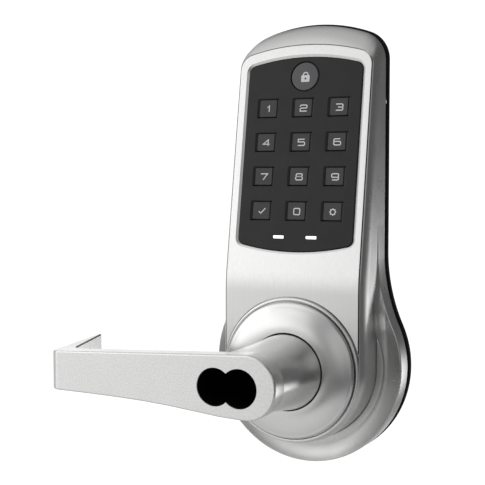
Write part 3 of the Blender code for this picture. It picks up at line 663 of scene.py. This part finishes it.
outline = flare_half(0.1)
first_width = outline[0][0] - SIDE_X
lead_in = [
    (SIDE_X + first_width * k / 6.0, outline[0][1] + 3.0 * (6 - k)) for k in range(1, 6)]
right_side = lead_in + outline
stations = right_side + [(-x, z) for x, z in reversed(right_side[:-1])]
boolean(housing, loft("flange", [flange_section(x, z) for x, z in stations]), "UNION")
boolean(housing, revolve(
    "base_step",
    [(30.0, RIM_Y + 4.0), (30.0, RIM_Y - 1.5), (45.7, RIM_Y - 1.5), (45.9, RIM_Y - 1.4),
     (BASE_RING_RADIUS, RIM_Y - 1.2), (BASE_RING_RADIUS, RIM_Y + 4.0)], 160), "UNION")

cavity = body_solid("cavity", 2.3, WALL_INNER, 2.0, 6)
for px, pz in REAR_SCREWS:
    boolean(cavity, tube("boss", 0.0, 3.7, -14.6, 8.0, 32, (px, pz)))
boolean(housing, cavity)
for px, pz in REAR_SCREWS:
    boolean(housing, tube("boss_hole", 0.0, 1.75, -13.0, 8.0, 24, (px, pz)))

# fine groove where the body meets the step of the base
seam = slab("seam", stadium_half(42.5, 60.0), RIM_Y - 1.7, RIM_Y + 0.6)
boolean(seam, slab("seam_core", stadium_half(SIDE_X - 0.4, 120.0), *SEAM_CUT))
boolean(seam, tube("seam_limit", 0.0, BASE_RING_RADIUS + 0.1, *SEAM_CUT, 160), "INTERSECT")
boolean(housing, seam)


def plate_half(inset):
    """Right half of the face plate outline."""
    half = crown_half(
        FRONT_HALF_WIDTH - inset, FRONT_CROWN_Z - inset, FRONT_TOP_RADIUS,
        FRONT_CORNER_RADIUS - inset)
    half += [(FRONT_HALF_WIDTH - inset, z) for z in side_stations(half[-1][1])]
    return half + [(FRONT_HALF_WIDTH - inset, 0.0), (0.0, 0.0)]


recess = face_slab("recess", plate_half(0.0), -8.0, RECESS_DEPTH)
boolean(recess, tube("rose_seat", 0.0, RING_RADIUS + 0.2, *ROSE_CUT, 160))
boolean(housing, recess)
boolean(housing, panel_loft("window_cut", ((0.0, -6.0), (0.0, 7.0))))
boolean(housing, tube("spindle_cut", 0.0, 15.0, -50.0, -30.0, 96))
finish_piece(smooth(housing, 28.0), "escutcheon", SHELL_METAL, "escutcheon_housing")

# ------------------------------------------------------------------ face plate
plate_rings = []
for inset, offset in ((0.3, 0.0), (0.12, 0.04), (0.03, 0.13), (0.0, 0.3), (0.0, PLATE_THICK)):
    plate_outline = mirrored(plate_half(PLATE_EDGE_GAP + inset))
    plate_rings.append([
        (x + PLATE_SHIFT_X, front_y(z) + offset, z) for x, z in plate_outline])
plate = loft("front_plate", plate_rings, None, len(plate_rings[0]) // 2 + 1)
boolean(plate, tube("rose_cut", 0.0, RING_RADIUS + 0.6, *ROSE_CUT, 160))
boolean(plate, panel_loft(
    "window_edge",
    ((2.4, -1.2), (1.45, -0.06), (1.3, 0.02), (1.15, 0.12), (0.35, 0.62), (0.0, 0.9),
     (0.0, 4.0))))
finish_piece(smooth(plate, 20.0), "escutcheon", PLATE_METAL, "face_plate")
# Painted shade: the plate's side faces outside the window and the rose take the near-black
# finish, so the groove round the plate reads as a shadow line.
plate.data.materials.append(EDGE_SHADE)
above_window_z = PANEL_Z + PANEL_TOP_S * math.cos(PANEL_TILT) + 2.0
for poly in plate.data.polygons:
    x, y, z = poly.center / MM
    outer = abs(x) > PANEL_HALF_WIDTH + 3.0 or z > above_window_z
    if abs(poly.normal.y) < 0.35 and outer and math.hypot(x, z) > RING_RADIUS + 1.0:
        poly.material_index = 1

# ---------------------------------------------------------------------- keypad
fascia = panel_loft(
    "keypad_panel",
    ((-0.95, 0.6), (-0.7, 0.63), (-0.45, 0.74), (-0.3, 0.95), (-0.3, 3.9), (2.2, 4.0),
     (2.2, 5.2)))
# growth in x, growth in s and depth of each section of a key's well
WELL = (
    (1.9, 1.0, -0.4), (1.55, 0.75, 0.58), (1.35, 0.62, 0.68), (0.5, 0.3, 1.1),
    (0.12, 0.12, 1.3), (0.1, 0.1, 1.5), (0.1, 0.1, 8.0))
for label, column, row in KEY_NAMES:
    place = on_panel(column * KEY_PITCH_X, row * KEY_PITCH_S)
    rings = []
    for grow_x, grow_s, y in WELL:
        box = rounded_box(KEY_HALF_X + grow_x, KEY_HALF_S + grow_s, 0.5 + 0.2 * grow_s, 7)
        rings.append([(x, y, z) for x, z in box])
    boolean(fascia, loft("key_well_" + label, rings, place))
    slit = rounded_box(KEY_HALF_X + 0.85, 0.32, 0.3, 6, -0.35, -KEY_HALF_S - 0.4)
    boolean(fascia, prism("key_slit_" + label, slit, -0.4, 3.0, place))
    pit_centre = (KEY_HALF_X + 0.75, KEY_HALF_S + 0.25)
    boolean(fascia, tube("key_pit_" + label, 0.0, 0.42, -0.4, 3.0, 16, pit_centre, place))
badge_place = on_panel(0.0, BADGE_S)
boolean(fascia, revolve(
    "badge_pocket",
    [(0.0, -1.0), (BADGE_RADIUS + 0.75, -1.0), (BADGE_RADIUS + 0.65, 0.62),
     (BADGE_RADIUS + 0.45, 0.8), (BADGE_RADIUS + 0.45, 2.2), (0.0, 2.2)],
    96, (0.0, 0.0), badge_place))
for side in (-1.0, 1.0):
    place = on_panel(side * LED_X, LED_S)
    boolean(fascia, prism("led_cut", rounded_box(3.25, 0.92, 0.2, 5), -1.0, 8.0, place))
finish_piece(smooth(fascia, 25.0), "escutcheon", PANEL_PLASTIC, "keypad_fascia")

badge = revolve(
    "badge",
    [(0.0, 0.62), (BADGE_RADIUS - 0.75, 0.62), (BADGE_RADIUS - 0.45, 0.66),
     (BADGE_RADIUS - 0.15, 0.8), (BADGE_RADIUS, 1.05), (BADGE_RADIUS, 1.9), (0.0, 1.9)],
    128, (0.0, 0.0), badge_place)
finish_piece(smooth(badge, 40.0), "escutcheon", BADGE_FACE, "badge_disc")
for label, side in (("left", -1.0), ("right", 1.0)):
    place = on_panel(side * LED_X, LED_S)
    rings = []
    for shrink, y in ((0.25, 0.62), (0.1, 0.66), (0.0, 0.8), (0.0, 5.6)):
        box = rounded_box(3.05 - shrink, 0.72 - shrink, 0.12, 6)
        rings.append([(x, y, z) for x, z in box])
    led = loft("led_" + label, rings, place)
    finish_piece(smooth(led, 40.0), "escutcheon", LED_LIGHT, "led_window_" + label)


# ------------------------------------------------------------ keys and legends
SIX = [
    (0.8, 1.0), (-0.7, 1.0), (-0.95, 0.75), (-0.95, -0.75), (-0.7, -1.0), (0.7, -1.0),
    (0.95, -0.75), (0.95, -0.1), (0.7, 0.15), (-0.95, 0.15)]
GLYPHS = {
    "1": [[(-0.35, 0.45), (0.15, 1.0), (0.15, -1.0)]],
    "2": [[(-0.95, 0.5), (-0.95, 0.75), (-0.7, 1.0), (0.7, 1.0), (0.95, 0.75), (0.95, 0.25),
           (0.7, 0.0), (-0.7, 0.0), (-0.95, -0.25), (-0.95, -1.0), (0.95, -1.0)]],
    "3": [[(-0.95, 1.0), (0.7, 1.0), (0.95, 0.75), (0.95, 0.25), (0.7, 0.0), (-0.4, 0.0)],
          [(0.6, 0.0), (0.7, 0.0), (0.95, -0.25), (0.95, -0.75), (0.7, -1.0), (-0.95, -1.0)]],
    "4": [[(0.5, -1.0), (0.5, 1.0), (-0.95, -0.45), (0.95, -0.45)]],
    "5": [[(0.9, 1.0), (-0.9, 1.0), (-0.9, 0.15), (0.7, 0.15), (0.95, -0.1), (0.95, -0.75),
           (0.7, -1.0), (-0.95, -1.0)]],
    "6": [SIX],
    "7": [[(-0.95, 1.0), (0.95, 1.0), (-0.25, -1.0)]],
    "8": [[(0.0, 1.0), (0.6, 1.0), (0.85, 0.75), (0.85, 0.35), (0.6, 0.08), (-0.6, 0.08),
           (-0.85, 0.35), (-0.85, 0.75), (-0.6, 1.0), (0.0, 1.0)],
          [(0.0, 0.08), (0.7, 0.08), (0.95, -0.2), (0.95, -0.75), (0.7, -1.0), (-0.7, -1.0),
           (-0.95, -0.75), (-0.95, -0.2), (-0.7, 0.08), (0.0, 0.08)]],
    "9": [[(-x, -s) for x, s in SIX]],
    "0": [[(0.0, 1.0), (0.6, 1.0), (0.85, 0.75), (0.85, -0.75), (0.6, -1.0), (-0.6, -1.0),
           (-0.85, -0.75), (-0.85, 0.75), (-0.6, 1.0), (0.0, 1.0)]],
    "check": [[(-0.85, -0.05), (-0.25, -0.7), (1.0, 0.95)]],
}


def gear_outline(outer, root, teeth):
    """Outline of a small cog."""
    points = []
    for i in range(teeth):
        centre = 360.0 / teeth * i + 90.0
        for radius, offset in ((root, -15.0), (outer, -9.5), (outer, 9.5), (root, 15.0)):
            a = math.radians(centre + offset)
            points.append((radius * math.cos(a), radius * math.sin(a)))
    return points


def stroke(points, width):
    """Outline of an open bent stroke with square ends."""
    normals = []
    for (ax, az), (bx, bz) in zip(points, points[1:]):
        normals.append(Vector((az - bz, bx - ax)).normalized())
    left = []
    right = []
    for i, (x, z) in enumerate(points):
        before = normals[max(i - 1, 0)]
        after = normals[min(i, len(normals) - 1)]
        mitre = (before + after).normalized()
        side = mitre * width * 0.5 / max(0.45, mitre.dot(after))
        left.append((x + side.x, z + side.y))
        right.append((x - side.x, z - side.y))
    return left + right[::-1]


def flat_glyph(name, strokes, half_x, half_s, width):
    """Thin raised glyph made of strokes."""
    verts = []
    faces = []
    for points in strokes:
        outline = stroke([(x * half_x, s * half_s) for x, s in points], width)
        first = len(verts)
        count = len(outline)
        half = count // 2
        verts += [(x, -LEGEND_HALF_THICK, z) for x, z in outline]
        verts += [(x, LEGEND_HALF_THICK, z) for x, z in outline]
        faces += ring_faces(first, first + count, count)
        for corner in (first, first + count):
            for i in range(half - 1):
                faces.append((
                    corner + i, corner + i + 1,
                    corner + count - 2 - i, corner + count - 1 - i))
    return piece(name, verts, faces)


KEY_SECTIONS = (
    (-0.42, 0.9), (-0.25, 0.93), (-0.1, 1.02), (0.0, 1.2), (0.0, 5.55), (0.9, 5.6), (0.9, 6.6))
legend_shift = Matrix.Translation(Vector((LEGEND_X, LEGEND_Y, LEGEND_S)) * MM)
for label, column, row in KEY_NAMES:
    place = on_panel(column * KEY_PITCH_X, row * KEY_PITCH_S)
    body = "key_" + label
    key = key_block("button_" + label, KEY_SECTIONS, place)
    finish_piece(smooth(key, 35.0), body, KEY_PLASTIC, "key_" + label)
    if label == "gear":
        legend = prism(
            "legend_gear", gear_outline(2.0, 1.62, 8), -LEGEND_HALF_THICK, LEGEND_HALF_THICK)
        boolean(legend, tube("gear_eye", 0.0, 1.12, -1.0, 1.0, 32))
    else:
        legend = flat_glyph("legend_" + label, GLYPHS[label], 2.1, 1.72, 0.6)
    legend.data.transform(place @ legend_shift)
    finish_piece(legend, body, LEGEND_INK)

badge_mark = prism("badge_mark", rounded_box(2.5, 1.9, 0.5, 6, 0.3, -1.3), 0.585, 0.625)
boolean(badge_mark, revolve(
    "badge_shackle",
    [(1.1, 0.59), (1.75, 0.59), (1.75, 0.62), (1.1, 0.62)], 48, (0.3, 0.75)), "UNION")
boolean(badge_mark, tube("badge_keyhole", 0.0, 0.62, -1.0, 2.0, 24, (0.3, -1.3)))
badge_mark.data.transform(badge_place)
finish_piece(badge_mark, "escutcheon", LEGEND_INK)

# ------------------------------------------------------------------------ rose
ring = revolve(
    "ring",
    [(38.2, -41.8), (38.2, -42.5), (38.3, -42.9), (38.6, -43.15), (39.0, -43.2),
     (39.5, -43.12), (39.85, -42.9), (RING_RADIUS, -42.5), (RING_RADIUS, -41.8)], 192)
finish_piece(smooth(ring, 50.0), "escutcheon", DOME_METAL, "rose_ring")
dome_inner = JOINT_RADIUS - 0.2
shoulder = 36.2
dome_profile = [(37.8, -41.8), (37.8, -44.0)]
for step in range(1, 7):
    turn = 0.5 * math.pi * step / 6
    dome_profile.append((shoulder + 1.6 * math.cos(turn), -44.0 - 1.9 * math.sin(turn)))
for step in range(1, 17):
    t = step / 16
    rise = 3.35 * (1.0 - (1.0 - t) ** 1.9)
    dome_profile.append((shoulder + (dome_inner - shoulder) * t, -45.9 - rise))
dome_profile += [(dome_inner, -47.6), (30.0, -46.3), (35.6, -44.4), (36.0, -41.8)]
dome = revolve("dome", dome_profile, 192)
finish_piece(smooth(dome, 35.0), "escutcheon", DOME_METAL, "rose_dome")

# ----------------------------------------------------------------------- lever
front_outline = arc(0.0, -0.2, HUB_RADIUS, 90.0, -90.0, 73)
front_outline += [
    (-15.0, -16.2), (-30.0, -14.6), (-45.0, -13.0), (-60.0, -11.9), (-75.0, -11.2),
    (-95.0, -10.6), (LEVER_END_X - 3.0, -10.1), (LEVER_END_X - 3.0, 10.9)]
lever_front = prism("lever_front", front_outline, LEVER_FACE_Y - 8.0, -45.0)
plan = [(25.0, LEVER_FACE_Y)]
plan += arc(LEVER_END_X + 7.0, LEVER_FACE_Y + 7.0, 7.0, 270.0, 180.0, 17)
plan += [(LEVER_END_X + 0.8, LEVER_RETURN_Y), (LEVER_END_X + 3.0, LEVER_RETURN_Y)]
plan += arc(LEVER_END_X + 13.4, LEVER_BACK_Y + 5.0, 5.0, 188.0, 270.0, 15)
plan += [(25.0, LEVER_BACK_Y)]
lever = loft("lever", [[(x, y, z) for x, y in plan] for z in (-40.0, 40.0)])
boolean(lever, lever_front, "INTERSECT")
# the return leg grows a little taller towards the door
for vert in lever.data.vertices:
    reach = vert.co.y / MM - LEVER_BACK_Y
    if vert.co.x / MM < -100.0 and reach > 0.0:
        vert.co.z = (vert.co.z / MM * (1.0 + 0.0062 * reach) + 0.012 * reach) * MM
round_edges(lever, 0.9, 4, 50.0)

neck_rings = []
for i in range(31):
    t = i / 30.0
    blend = t * t * (3.0 - 2.0 * t)
    y = NECK_ROOT_Y - NECK_LENGTH * t
    right = NECK_ROOT_RADIUS - 5.2 * (1.0 - (1.0 - t) ** 1.1)
    left = NECK_ROOT_RADIUS + 15.0 * blend
    high = NECK_ROOT_RADIUS - 5.6 * (1.0 - (1.0 - t) ** 1.4)
    ring_points = []
    for k in range(128):
        a = 2.0 * math.pi * k / 128
        half_x = right if math.cos(a) > 0.0 else left
        ring_points.append((half_x * math.cos(a), y, high * math.sin(a)))
    neck_rings.append(ring_points)
boolean(lever, loft("neck", neck_rings), "UNION")
for x, radius in CORE_LOBES:
    boolean(lever, revolve(
        "core_lobe",
        [(0.0, -105.0), (radius + 0.35, -105.0), (radius + 0.35, LEVER_FACE_Y),
         (radius + 0.1, -100.3), (radius, -99.9), (radius, CORE_FLOOR_Y), (0.0, CORE_FLOOR_Y)],
        96, (x, CORE_Z)))
boolean(lever, tube("bore", 0.0, SLEEVE_BORE_RADIUS, -68.0, -40.0, 96))
set_screw_place = (
    Matrix.Translation(Vector((0.0, -52.0, 0.0)) * MM)
    @ Matrix.Rotation(math.radians(90.0), 4, "X"))
boolean(lever, tube("set_screw_cut", 0.0, 1.9, -30.0, -9.0, 32, matrix=set_screw_place))
finish_piece(smooth(lever, 30.0), "lever", LEVER_METAL, "lever_handle")
lever.data.materials.append(CORE_POCKET_SHADE)
# Painted shade: faces inside the core pocket take the near-black finish.
in_core = set()
for vert in lever.data.vertices:
    x, y, z = vert.co / MM
    beyond = min(math.hypot(x - cx, z - CORE_Z) - radius for cx, radius in CORE_LOBES)
    if beyond < 0.05 and LEVER_FACE_Y + 0.6 < y < CORE_FLOOR_Y + 0.1:
        in_core.add(vert.index)
for poly in lever.data.polygons:
    if in_core.issuperset(poly.vertices):
        poly.material_index = 1

# -------------------------------------------------- finishes of the inner parts
INNER = {
    "back_plate": PLATE_BLACK,
    "keypad_mat": SILICONE,
    "keypad_board": BOARD_GREEN,
    "control_board": BOARD_BLUE,
    "sounder": PANEL_PLASTIC,
    "door_connector": NYLON,
    "ribbon_cable": CABLE_SKIN,
    "mounting_post_upper": STEEL,
    "mounting_post_left": STEEL,
    "mounting_post_right": STEEL,
    "rear_screw_upper_left": DARK_STEEL,
    "rear_screw_upper_right": DARK_STEEL,
    "rear_screw_lower_left": DARK_STEEL,
    "rear_screw_lower_right": DARK_STEEL,
    "board_screw_1": STEEL,
    "board_screw_2": STEEL,
    "board_screw_3": STEEL,
    "board_screw_4": STEEL,
    "lever_bearing": BRONZE,
    "spring_cage": STEEL,
    "return_spring": DARK_STEEL,
    "clutch_motor": STEEL,
    "spindle_tube": STEEL,
    "lever_set_screw": DARK_STEEL,
    "retaining_ring": DARK_STEEL,
    "drive_hub": BRONZE,
    "clutch_collar": STEEL,
    "tailpiece_cam": STEEL,
    "lead_screw": BRASS,
    "shift_fork": ACETAL,
}
for node, material in INNER.items():
    part = bpy.data.objects[node]
    for index in range(len(part.data.materials)):
        part.data.materials[index] = material
    if not part.data.materials:
        part.data.materials.append(material)


# --------------------------------------------------------- floor, light, camera
BACKDROP = Vector((-0.43, 0.90, -0.06)).normalized()
FLOOR_Z = -1.6
FLOOR_HALF = 3.8
SKY_BASE = 0.13
# axis, full angle, end angle and strength of each soft patch of the surroundings
SKY_LOBES = (
    (BACKDROP, 18.5, 30.0, 0.98),
    ((-0.695, -0.71, -0.10), 14.0, 38.0, 0.90),
    ((0.0, -0.93, 0.37), 10.0, 40.0, 0.30),
    ((-0.2, -0.1, 1.0), 15.0, 60.0, 0.55),
    ((-0.45, -0.5, 0.74), 10.0, 40.0, 0.45),
    ((0.35, -0.92, 0.15), 8.0, 22.0, 0.20),
    ((0.77, -0.52, 0.37), 8.0, 24.0, 0.45),
    ((0.412, 0.883, -0.225), 6.0, 12.5, 2.30),
    ((-0.97, 0.15, 0.20), 20.0, 55.0, 0.55),
)
CAMERA_PLACE = Vector((0.23863, -0.60349, 0.1062))
CAMERA_TARGET = Vector((-0.04922, 0.0, 0.06683))
CAMERA_LENS = 82.88


def lobe(tree, vector, axis, inner, outer, strength):
    """Soft round patch of light about an axis: full to inner, none past outer, in degrees."""
    toward = tree.nodes.new("ShaderNodeVectorMath")
    toward.operation = "DOT_PRODUCT"
    toward.inputs[1].default_value = Vector(axis).normalized()
    tree.links.new(vector, toward.inputs[0])
    shape = tree.nodes.new("ShaderNodeMapRange")
    shape.interpolation_type = "SMOOTHSTEP"
    shape.inputs["From Min"].default_value = math.cos(math.radians(outer))
    shape.inputs["From Max"].default_value = math.cos(math.radians(inner))
    shape.inputs["To Min"].default_value = 0.0
    shape.inputs["To Max"].default_value = strength
    tree.links.new(toward.outputs["Value"], shape.inputs["Value"])
    return shape.outputs["Result"]


def total(tree, base, parts):
    """Sum of a base value and several sockets."""
    value = None
    for part in parts:
        add = tree.nodes.new("ShaderNodeMath")
        add.operation = "ADD"
        if value is None:
            add.inputs[1].default_value = base
        else:
            tree.links.new(value, add.inputs[1])
        tree.links.new(part, add.inputs[0])
        value = add.outputs["Value"]
    return value


floor_shader = Shader("studio_floor", (0.8, 0.8, 0.8), 0.7, 0.0)
floor_tone = floor_shader.noise((1.0, 1.0, 1.0), 1.5)
floor_shader.tint(floor_tone, (0.78, 0.78, 0.78), (0.82, 0.82, 0.82))
floor_shader.bsdf.inputs["Specular IOR Level"].default_value = 0.1
floor_way = floor_shader.tree.nodes.new("ShaderNodeVectorMath")
floor_way.operation = "NORMALIZE"
floor_shader.tree.links.new(floor_shader.coords.outputs["Object"], floor_way.inputs[0])
floor_glow = lobe(
    floor_shader.tree, floor_way.outputs["Vector"], BACKDROP, 24.0, 52.0, 0.2)
floor_front = lobe(
    floor_shader.tree, floor_way.outputs["Vector"], (-0.45, -0.85, -0.2), 20.0, 60.0, 0.35)
floor_light = total(floor_shader.tree, 0.0, (floor_glow, floor_front))
floor_shader.tree.links.new(floor_light, floor_shader.bsdf.inputs["Emission Strength"])
floor_shader.bsdf.inputs["Emission Color"].default_value = (1.0, 1.0, 1.0, 1.0)
floor_mesh = bpy.data.meshes.new("studio_floor")
floor_mesh.from_pydata(
    [(x, y, FLOOR_Z) for x, y in (
        (-FLOOR_HALF, -FLOOR_HALF), (FLOOR_HALF, -FLOOR_HALF),
        (FLOOR_HALF, FLOOR_HALF), (-FLOOR_HALF, FLOOR_HALF))],
    [], [(0, 1, 2, 3)])
floor = bpy.data.objects.new("studio_floor", floor_mesh)
bpy.context.scene.collection.objects.link(floor)
floor.data.materials.append(floor_shader.mat)

world = bpy.data.worlds.new("studio")
world.use_nodes = True
bpy.context.scene.world = world
tree = world.node_tree
coords = tree.nodes.new("ShaderNodeTexCoord")
around = coords.outputs["Generated"]
sky = total(tree, SKY_BASE, [lobe(tree, around, *patch) for patch in SKY_LOBES])
tree.links.new(sky, tree.nodes["Background"].inputs["Strength"])
tree.nodes["Background"].inputs["Color"].default_value = (1.0, 1.0, 1.0, 1.0)


def softbox(name, place, target, size_x, size_y, power):
    """Rectangular area light that looks at a target."""
    light = bpy.data.lights.new(name, "AREA")
    light.shape = "RECTANGLE"
    light.size = size_x
    light.size_y = size_y
    light.energy = power
    obj = bpy.data.objects.new(name, light)
    obj.location = place
    aim = Vector(target) - Vector(place)
    obj.rotation_euler = aim.to_track_quat("-Z", "Y").to_euler()
    bpy.context.scene.collection.objects.link(obj)


softbox("key_light", (-0.84, -1.18, 0.50), (0.0, 0.0, 0.06), 1.5, 0.8, 2.2)
softbox("dome_light", (-1.19, -0.74, 0.66), (0.0, 0.0, 0.03), 0.55, 0.4, 0.75)

camera_data = bpy.data.cameras.new("camera")
camera_data.sensor_width = 36.0
camera_data.lens = CAMERA_LENS
camera = bpy.data.objects.new("camera", camera_data)
camera.location = CAMERA_PLACE
look = CAMERA_TARGET - CAMERA_PLACE
camera.rotation_euler = look.to_track_quat("-Z", "Y").to_euler()
bpy.context.scene.collection.objects.link(camera)
bpy.context.scene.camera = camera
bpy.context.scene.view_settings.view_transform = "Standard"
